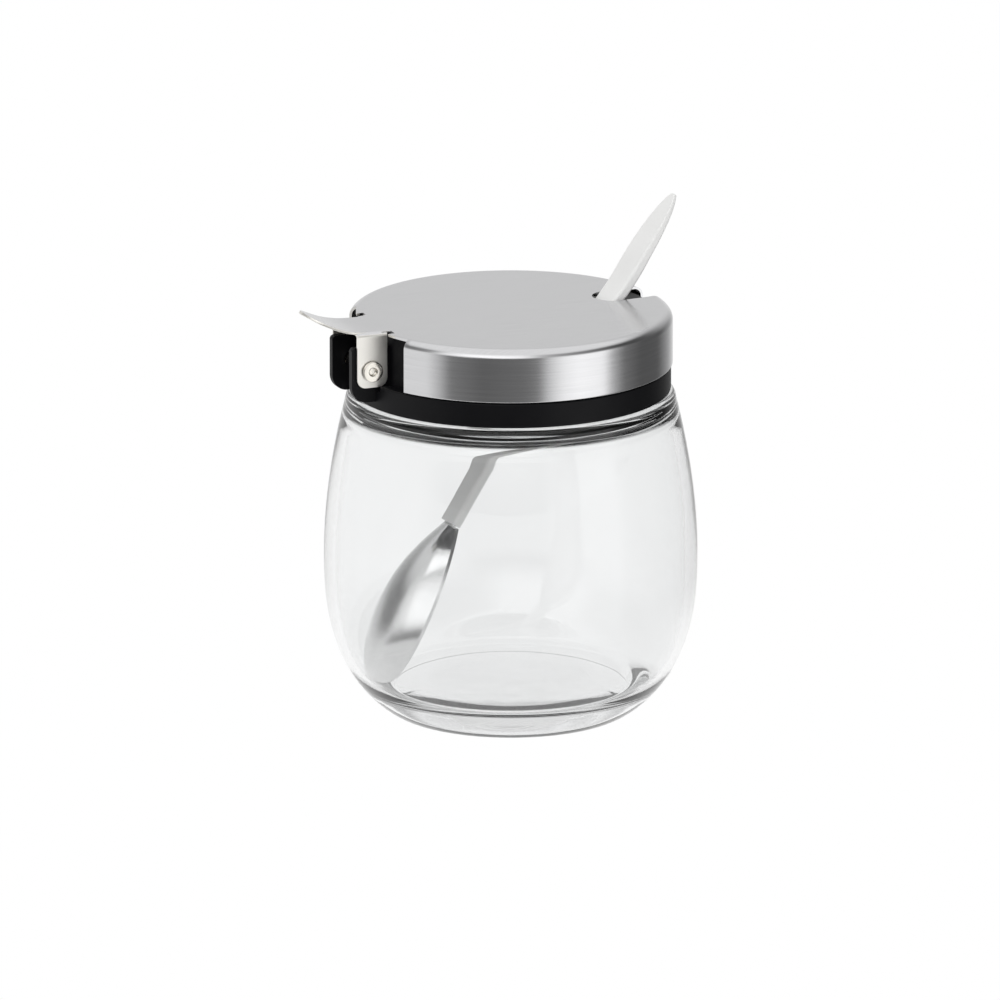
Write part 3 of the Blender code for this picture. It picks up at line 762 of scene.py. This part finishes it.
def ear(side):
    """The fold off the tab, and the flat cheek below it which carries the pin."""
    middle_y = EAR_OUTER_Y - EAR_SHEET / 2
    bend = EAR_BEND - EAR_SHEET / 2
    bend_y, bend_z = middle_y - bend, TAB_LEVEL - bend
    line = [(bend_y - FOLD_ROOT, TAB_LEVEL)] + arc((bend_y, bend_z), bend, 90, 0, 12)
    line.append((middle_y, bend_z - FOLD_END))
    line = [Vector(p) for p in line]
    full = EAR_X[1] - EAR_X[0]
    fold = strip("fold", line, [full] * len(line), [EAR_SHEET] * len(line), corner=0.02)
    fold.location.x = (EAR_X[0] + EAR_X[1]) / 2
    fold.rotation_euler.z = side * math.pi / 2
    low, high = sorted((side * (EAR_OUTER_Y - EAR_SHEET), side * EAR_OUTER_Y))
    boolean(fold, prism("cheek", cheek_outline(), low, high, axis="Y"), "UNION")
    return fold


def hinge_gap_outline():
    """The part of the rim and skirt left out at the hinge, from above."""
    start, end = 180 - HINGE_GAP_DEG, 180 + HINGE_GAP_DEG
    return arc((0, 0), GAP_EDGE_RADIUS, start, end, 40) + arc((0, 0), GAP_OUTSIDE, end, start, 20)


def notch_outline():
    """The spoon's notch from above: a slot with a round inner end, open through the rim."""
    slot = arc((NOTCH_CENTRE, 0), NOTCH_HALF_WIDTH, 90, 270, 40)
    return slot + [(NOTCH_OUTSIDE, -NOTCH_HALF_WIDTH), (NOTCH_OUTSIDE, NOTCH_HALF_WIDTH)]


def relief_outline(side):
    """The small cut beside the tab's root, from above."""
    near, far = side * RELIEF_NEAR_Y, side * RELIEF_FAR_Y
    near_x, far_x = RELIEF_OUTER_X
    return [(near_x, near), (RELIEF_INNER_X, near), (RELIEF_INNER_X, far), (far_x, far)]


def lid_shell():
    lid = turned("lid", lid_section())
    low, high = SKIRT_BOTTOM - CUT_MARGIN, LID_TOP + CUT_MARGIN
    boolean(lid, prism("gap", hinge_gap_outline(), low, high), "DIFFERENCE")
    notch = prism("notch", notch_outline(), low, high)
    notch.rotation_euler.z = NOTCH_TURN
    boolean(lid, notch, "DIFFERENCE")
    boolean(lid, tab_lever(), "UNION")
    for side in (-1, 1):
        boolean(lid, prism("relief", relief_outline(side), SKIRT_BOTTOM, high), "DIFFERENCE")
        boolean(lid, ear(side), "UNION")
    bore = rod("bore", PIN_RADIUS + GAP, PIN_X, PIN_Z, -LID_BORE_REACH, LID_BORE_REACH)
    boolean(lid, bore, "DIFFERENCE")
    return soften(lid, LID_SOFTNESS)


def hinge_pin():
    """The rivet: a plain head, a shank, and on the near side a rolled end with a hollow."""
    head_in = EAR_OUTER_Y + GAP
    head_out = PIN_HALF_LENGTH
    soft = PIN_ROUND
    head = arc((PIN_HEAD_RADIUS - soft, -head_out + soft), soft, 270, 360, 5)
    shank = [(PIN_HEAD_RADIUS, -head_in), (PIN_RADIUS, -head_in), (PIN_RADIUS, head_in),
             (PIN_HEAD_RADIUS, head_in)]
    roll = arc((PIN_HEAD_RADIUS - soft, head_out - soft), soft, 0, 90, 5)
    mouth = arc((ROLL_MOUTH + soft, head_out - soft), soft, 90, 180, 5)
    floor = head_out - ROLL_DEPTH
    hollow = [(ROLL_MOUTH, head_out - ROLL_WALL), (ROLL_FLOOR, floor), (0, floor)]
    pin = turned("pin", [(0, -head_out)] + head + shank + roll + mouth + hollow, turns=PIN_TURNS)
    pin.rotation_euler.x = math.radians(90)
    pin.location = (PIN_X, 0, PIN_Z)
    apply_all(pin)
    return soften(pin, 0)


# ------------------------------------------------------------------ spoon

def tang_line(length):
    """The first part of the handle's line, up to a length from its lower end."""
    line = smooth_line(HANDLE_LINE[:3], 20)
    start = Vector(HANDLE_LINE[0])
    return [p for p in line if (p - start).length < length]


def handle_width(along):
    """The handle's width from its lower end at 0 to its tip at 1: a stem, a swell and a pointed end."""
    swell = min(1.0, max(0.0, (along - SWELL_START) / SWELL_LENGTH))
    width = STEM_WIDTH + SWELL_WIDTH * swell ** 2 * (3 - 2 * swell)
    to_tip = max(0.0, (along - POINT_START) / POINT_LENGTH)
    return width * math.sqrt(max(POINT_BLUNTNESS ** 2, 1 - to_tip ** POINT_CURVE))


def handle_thickness(along):
    """The handle's thickness from its lower end at 0 to its tip at 1."""
    to_tip = max(0.0, (along - THINNING_START) / THINNING_LENGTH)
    return STEM_THICKNESS - THINNING * to_tip ** THINNING_CURVE


def spoon_handle():
    line = smooth_line(HANDLE_LINE, 18)
    line[0] += (line[1] - line[0]).normalized() * HANDLE_GAP
    total = len(line) - 1
    widths = [handle_width(i / total) for i in range(total + 1)]
    thicknesses = [handle_thickness(i / total) for i in range(total + 1)]
    handle = strip("handle", line, widths, thicknesses)
    socket_line = tang_line(TANG_LENGTH + SOCKET_ROOM)
    count = len(socket_line)
    width, thickness = TANG_WIDTH + 2 * GAP, TANG_SHEET + 2 * GAP
    socket = strip("socket", socket_line, [width] * count, [thickness] * count, corner=0.1)
    boolean(handle, socket, "DIFFERENCE")
    handle.rotation_euler.z = NOTCH_TURN
    apply_all(handle)
    return soften(handle, HANDLE_SOFTNESS, angle_deg=50)


def bowl_size(reach, neck, widest, blunt):
    """A width or depth of the spoon's bowl, from its neck at 0 to its tip at 1."""
    if reach < BOWL_WIDEST:
        return neck + (widest - neck) * (1 - (1 - reach / BOWL_WIDEST) ** 2)
    return widest * max(0.0, 1 - ((reach - BOWL_WIDEST) / (1 - BOWL_WIDEST)) ** blunt) ** (1 / blunt)


def bowl_reaches():
    """Places along the bowl, from its neck at 0 nearly to its tip at 1 and closer together there."""
    to_widest = [BOWL_WIDEST * i / BOWL_STATIONS for i in range(BOWL_STATIONS)]
    turns = [math.radians(BOWL_TIP_DEG * i / BOWL_STATIONS) for i in range(BOWL_STATIONS + 1)]
    return to_widest + [BOWL_WIDEST + (1 - BOWL_WIDEST) * math.sin(turn) for turn in turns]


def spoon_bowl():
    """A thin bowl, convex on the hinge side, and the tang that enters the handle."""
    end = Vector(HANDLE_LINE[0])
    tip = Vector(BOWL_TIP)
    along = (tip - end).normalized()
    out = Vector((-abs(along.y), abs(along.x)))
    length = (tip - end).length
    outer_face = range(BOWL_ACROSS + 1)
    verts = []
    rows = []
    for reach in bowl_reaches():
        half = bowl_size(reach, NECK_HALF_WIDTH, BOWL_HALF_WIDTH, BOWL_WIDTH_BLUNTNESS)
        depth = bowl_size(reach, NECK_DEPTH, BOWL_DEPTH, BOWL_DEPTH_BLUNTNESS)
        sag = BOWL_SAG * math.sin(math.pi * reach)
        first = len(verts)
        for thin, steps in ((0, outer_face), (BOWL_SHEET, reversed(outer_face))):
            for k in steps:
                side = -math.cos(math.pi * k / BOWL_ACROSS)
                lift = sag + depth * (1 - abs(side) ** BOWL_SECTION_CURVE) - thin
                spot = end + along * length * reach + out * lift
                verts.append((spot.x, half * side, spot.y))
        rows.append(list(range(first, len(verts))))
    bowl = add_object("bowl", verts, stitched(rows, True) + [rows[0], rows[-1]])
    root = end + along * TANG_ROOT_ALONG * MM + out * TANG_ROOT_OUT * MM
    line = [root, end] + tang_line(TANG_LENGTH)[1:]
    tang = strip("tang", line, [TANG_WIDTH] * len(line), [TANG_SHEET] * len(line), corner=0.1)
    boolean(bowl, tang, "UNION")
    bowl.rotation_euler.z = NOTCH_TURN
    apply_all(bowl)
    return soften(bowl, BOWL_SOFTNESS)


# ------------------------------------------------------------------ assembly

def settle(piece, body, node, material):
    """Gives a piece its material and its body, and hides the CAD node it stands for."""
    piece.data.materials.clear()
    piece.data.materials.append(material)
    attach(piece, body)
    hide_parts(node)


settle(glass_jar(), "jar", "glass_jar", clear_glass())
settle(screw_collar(), "collar", "screw_collar",
       moulded("black_plastic", dark=(0.004, 0.004, 0.005), light=(0.008, 0.008, 0.009), rough=0.42,
               grain_scale=2600, depth=0.00002, shine=0.12))
settle(neck_gasket(), "seal", "neck_gasket",
       moulded("gasket_rubber", dark=(0.72, 0.72, 0.70), light=(0.80, 0.80, 0.78), rough=0.55,
               grain_scale=1500, depth=0.00002))
settle(lid_shell(), "lid", "lid_shell", brushed_steel())
settle(hinge_pin(), "lid", "hinge_pin",
       plain_steel("rivet_steel", colour=(0.78, 0.75, 0.69), rough=0.16, grain_scale=900))
settle(spoon_handle(), "spoon", "spoon_handle",
       moulded("white_plastic", dark=(0.88, 0.88, 0.87), light=(0.92, 0.92, 0.91), rough=0.34,
               grain_scale=500, depth=0.00001))
settle(spoon_bowl(), "spoon", "spoon_bowl",
       plain_steel("polished_steel", colour=(0.70, 0.70, 0.70), rough=0.14, grain_scale=300))


# ------------------------------------------------------------------ studio

# Brightness round the jar, as (degrees, level): 0 degrees is towards the camera, 90 towards its right
LOW_BAND = [(-180, 0.80), (-150, 0.80), (-100, 0.92), (-62, 0.95), (-52, 0.60), (-44, 0.24),
            (-20, 0.15), (10, 0.19), (20, 0.26), (28, 0.80), (38, 1.20), (50, 1.36), (70, 1.28),
            (77, 0.60), (88, 0.20), (106, 0.11), (130, 0.12), (150, 0.40), (170, 0.80)]
HIGH_BAND = [(-180, 0.74), (-150, 0.74), (-110, 0.25), (-64, 0.15), (-50, 1.20), (-25, 1.60), (8, 1.50),
             (24, 0.5), (60, 0.25), (85, 0.08), (125, 0.08), (160, 0.74)]
OVERHEAD = 1.0
PEAK = 2.5
# Where the high band and the overhead light come in, as (height of the direction, PEAK for all of it)
HIGH_BAND_RISE = [(-1, 0), (0.02, 0), (0.30, PEAK), (1, PEAK)]
OVERHEAD_RISE = [(-1, 0), (0.50, 0), (0.80, PEAK), (1, PEAK)]
VIEW_AZIMUTH = math.radians(-21.9)
VIEW_ELEVATION = math.radians(15.3)
VIEW_DISTANCE = 6.0
VIEW_END = 20
FRAME_WIDTH = 247.2 * MM
AIM_Z = 53.05 * MM
AIM_SIDE = -2.65 * MM
SENSOR_WIDTH = 36
TABLE_CORNERS = [(-6, -6), (6, -6), (6, 6), (-6, 6)]
TABLE_LEVELS = (-0.02, -0.0006)
TABLE_MIDDLE_RADIUS = 0.27
TABLE_MIDDLE_LEVELS = (-0.0005, -0.0004)
TABLE_MIDDLE_FADE = (0.02, 0.15)
# Name, place, aim, size and power of each soft lamp
LAMPS = [("top_softbox", (-0.3, -0.5, 1.4), (0, 0, 0.05), (0.9, 0.9), 2.5),
         ("front_softbox", (-0.9, -1.3, 0.8), (0, 0, 0.06), (1.2, 1.2), 1.1)]


def camera():
    right = Vector((math.cos(VIEW_AZIMUTH), math.sin(VIEW_AZIMUTH), 0))
    forward = Vector((-math.sin(VIEW_AZIMUTH), math.cos(VIEW_AZIMUTH), 0)) * math.cos(VIEW_ELEVATION)
    forward.z = -math.sin(VIEW_ELEVATION)
    aim = Vector((0, 0, AIM_Z)) + right * AIM_SIDE
    lens = bpy.data.cameras.new("camera")
    lens.sensor_width = SENSOR_WIDTH
    lens.lens = SENSOR_WIDTH * VIEW_DISTANCE / FRAME_WIDTH
    lens.clip_end = VIEW_END
    eye = bpy.data.objects.new("camera", lens)
    eye.location = aim - forward * VIEW_DISTANCE
    eye.rotation_euler = forward.to_track_quat("-Z", "Y").to_euler()
    bpy.context.scene.collection.objects.link(eye)
    bpy.context.scene.camera = eye


def fade_out(tree, shader, radii):
    """Lets a surface fade away between two radii from the jar's axis."""
    place = tree.nodes.new("ShaderNodeTexCoord")
    reach = tree.nodes.new("ShaderNodeVectorMath")
    reach.operation = "LENGTH"
    tree.links.new(place.outputs["Object"], reach.inputs[0])
    share = tree.nodes.new("ShaderNodeMapRange")
    share.interpolation_type = "SMOOTHSTEP"
    share.inputs["From Min"].default_value, share.inputs["From Max"].default_value = radii
    tree.links.new(reach.outputs["Value"], share.inputs["Value"])
    clear = tree.nodes.new("ShaderNodeBsdfTransparent")
    mixed = tree.nodes.new("ShaderNodeMixShader")
    tree.links.new(share.outputs[0], mixed.inputs["Fac"])
    tree.links.new(shader.outputs[0], mixed.inputs[1])
    tree.links.new(clear.outputs[0], mixed.inputs[2])
    tree.links.new(mixed.outputs[0], tree.nodes["Material Output"].inputs["Surface"])


def white_card(name, outline, low, high, fade=None):
    """A white surface that lights itself evenly, as on a light table. One with a fade shows in metal."""
    card = prism(name, outline, low, high)
    white = bpy.data.materials.new(name)
    white.use_nodes = True
    shader = white.node_tree.nodes["Principled BSDF"]
    shader.inputs["Base Color"].default_value = (0, 0, 0, 1)
    shader.inputs["Specular IOR Level"].default_value = 0.0
    shader.inputs["Emission Color"].default_value = (1, 1, 1, 1)
    shader.inputs["Emission Strength"].default_value = 1.0
    if fade:
        fade_out(white.node_tree, shader, fade)
    card.data.materials.append(white)
    card.visible_glossy = bool(fade)
    card.visible_diffuse = False
    card.visible_shadow = False


def ramp(tree, value, low, high, stops, interpolation="B_SPLINE"):
    """A brightness that follows a value, as a share of PEAK, because a ramp holds at most 1."""
    span = tree.nodes.new("ShaderNodeMapRange")
    span.inputs["From Min"].default_value = low
    span.inputs["From Max"].default_value = high
    tree.links.new(value, span.inputs["Value"])
    made = tree.nodes.new("ShaderNodeValToRGB")
    made.color_ramp.interpolation = interpolation
    elements = made.color_ramp.elements
    while len(elements) < len(stops):
        elements.new(0.5)
    for element, (position, level) in zip(elements, sorted(stops)):
        element.position = (position - low) / (high - low)
        element.color = (level / PEAK, level / PEAK, level / PEAK, 1)
    tree.links.new(span.outputs[0], made.inputs["Fac"])
    return made.outputs["Color"]


def blend(tree, factor, a, b):
    """A mix of two colours: a where the factor is 0, b where it's 1."""
    made = tree.nodes.new("ShaderNodeMix")
    made.data_type = "RGBA"
    tree.links.new(factor, made.inputs["Factor"])
    tree.links.new(a, made.inputs["A"])
    tree.links.new(b, made.inputs["B"])
    return made.outputs["Result"]


def surroundings():
    """A soft studio, bright by direction: a low band, a high band above it, and an even overhead."""
    world = bpy.data.worlds.new("studio")
    bpy.context.scene.world = world
    world.use_nodes = True
    tree = world.node_tree
    background = tree.nodes["Background"]
    background.inputs["Strength"].default_value = PEAK
    place = tree.nodes.new("ShaderNodeTexCoord")
    turned_round = tree.nodes.new("ShaderNodeVectorRotate")
    turned_round.rotation_type = "Z_AXIS"
    turned_round.inputs["Angle"].default_value = math.pi / 2 - VIEW_AZIMUTH
    tree.links.new(place.outputs["Generated"], turned_round.inputs["Vector"])
    split = tree.nodes.new("ShaderNodeSeparateXYZ")
    tree.links.new(turned_round.outputs[0], split.inputs[0])
    angle = tree.nodes.new("ShaderNodeMath")
    angle.operation = "ARCTAN2"
    tree.links.new(split.outputs["Y"], angle.inputs[0])
    tree.links.new(split.outputs["X"], angle.inputs[1])
    degrees = tree.nodes.new("ShaderNodeMath")
    degrees.operation = "MULTIPLY"
    degrees.inputs[1].default_value = 180 / math.pi
    tree.links.new(angle.outputs[0], degrees.inputs[0])
    low_band = ramp(tree, degrees.outputs[0], -180, 180, LOW_BAND, "LINEAR")
    high_band = ramp(tree, degrees.outputs[0], -180, 180, HIGH_BAND)
    rise = ramp(tree, split.outputs["Z"], -1, 1, HIGH_BAND_RISE, "EASE")
    sky = ramp(tree, split.outputs["Z"], -1, 1, OVERHEAD_RISE, "EASE")
    overhead = tree.nodes.new("ShaderNodeRGB")
    overhead.outputs[0].default_value = (OVERHEAD / PEAK, OVERHEAD / PEAK, OVERHEAD / PEAK, 1)
    around = blend(tree, rise, low_band, high_band)
    tree.links.new(blend(tree, sky, around, overhead.outputs[0]), background.inputs["Color"])


def area_light(name, spot, aim, size, power):
    """A soft lamp that metal and glass don't mirror."""
    lamp = bpy.data.lights.new(name, "AREA")
    lamp.shape = "RECTANGLE"
    lamp.size, lamp.size_y = size
    lamp.energy = power
    obj = bpy.data.objects.new(name, lamp)
    obj.location = spot
    obj.rotation_euler = (Vector(aim) - Vector(spot)).to_track_quat("-Z", "Y").to_euler()
    obj.visible_glossy = False
    bpy.context.scene.collection.objects.link(obj)


camera()
white_card("table", TABLE_CORNERS, *TABLE_LEVELS)
white_card("table_middle", arc((0, 0), TABLE_MIDDLE_RADIUS, 0, 356, 89), *TABLE_MIDDLE_LEVELS,
           TABLE_MIDDLE_FADE)
surroundings()
for lamp in LAMPS:
    area_light(*lamp)
bpy.context.scene.view_settings.view_transform = "Standard"
